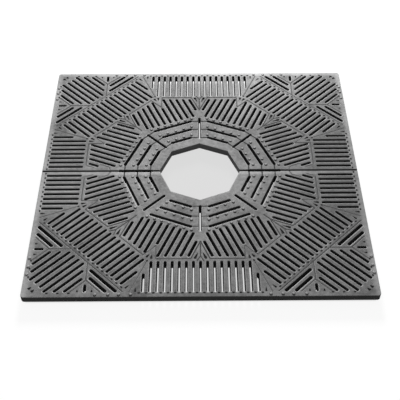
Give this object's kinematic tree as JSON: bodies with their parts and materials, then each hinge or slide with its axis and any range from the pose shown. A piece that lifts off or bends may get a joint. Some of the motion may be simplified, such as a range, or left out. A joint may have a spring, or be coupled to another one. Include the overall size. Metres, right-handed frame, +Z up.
{
  "type": "tree grate",
  "caption": "Square cast iron tree grate in two bolted halves, with slotted panels and an eight-sided opening for the trunk.",
  "frame": {"origin": "middle of the plan, level with the feet of the ribs", "axes": "+Z up through the walking surface, +X to the right along the joint, +Y to the rear"},
  "size_m": [1.524, 1.524, 0.06],
  "materials": {
    "cast_iron": "bare, weathered, matt",
    "zinc_steel": "zinc plated, satin"
  },
  "bodies": {
    "root": {"front_half": "cast_iron", "rear_half": "cast_iron", "bolt_left_outer": "zinc_steel", "head_washer_left_outer": "zinc_steel", "nut_washer_left_outer": "zinc_steel", "spring_washer_left_outer": "zinc_steel", "nut_left_outer": "zinc_steel", "bolt_left_inner": "zinc_steel", "head_washer_left_inner": "zinc_steel", "nut_washer_left_inner": "zinc_steel", "spring_washer_left_inner": "zinc_steel", "nut_left_inner": "zinc_steel", "bolt_right_inner": "zinc_steel", "head_washer_right_inner": "zinc_steel", "nut_washer_right_inner": "zinc_steel", "spring_washer_right_inner": "zinc_steel", "nut_right_inner": "zinc_steel", "bolt_right_outer": "zinc_steel", "head_washer_right_outer": "zinc_steel", "nut_washer_right_outer": "zinc_steel", "spring_washer_right_outer": "zinc_steel", "nut_right_outer": "zinc_steel"}
  },
  "joints": []
}
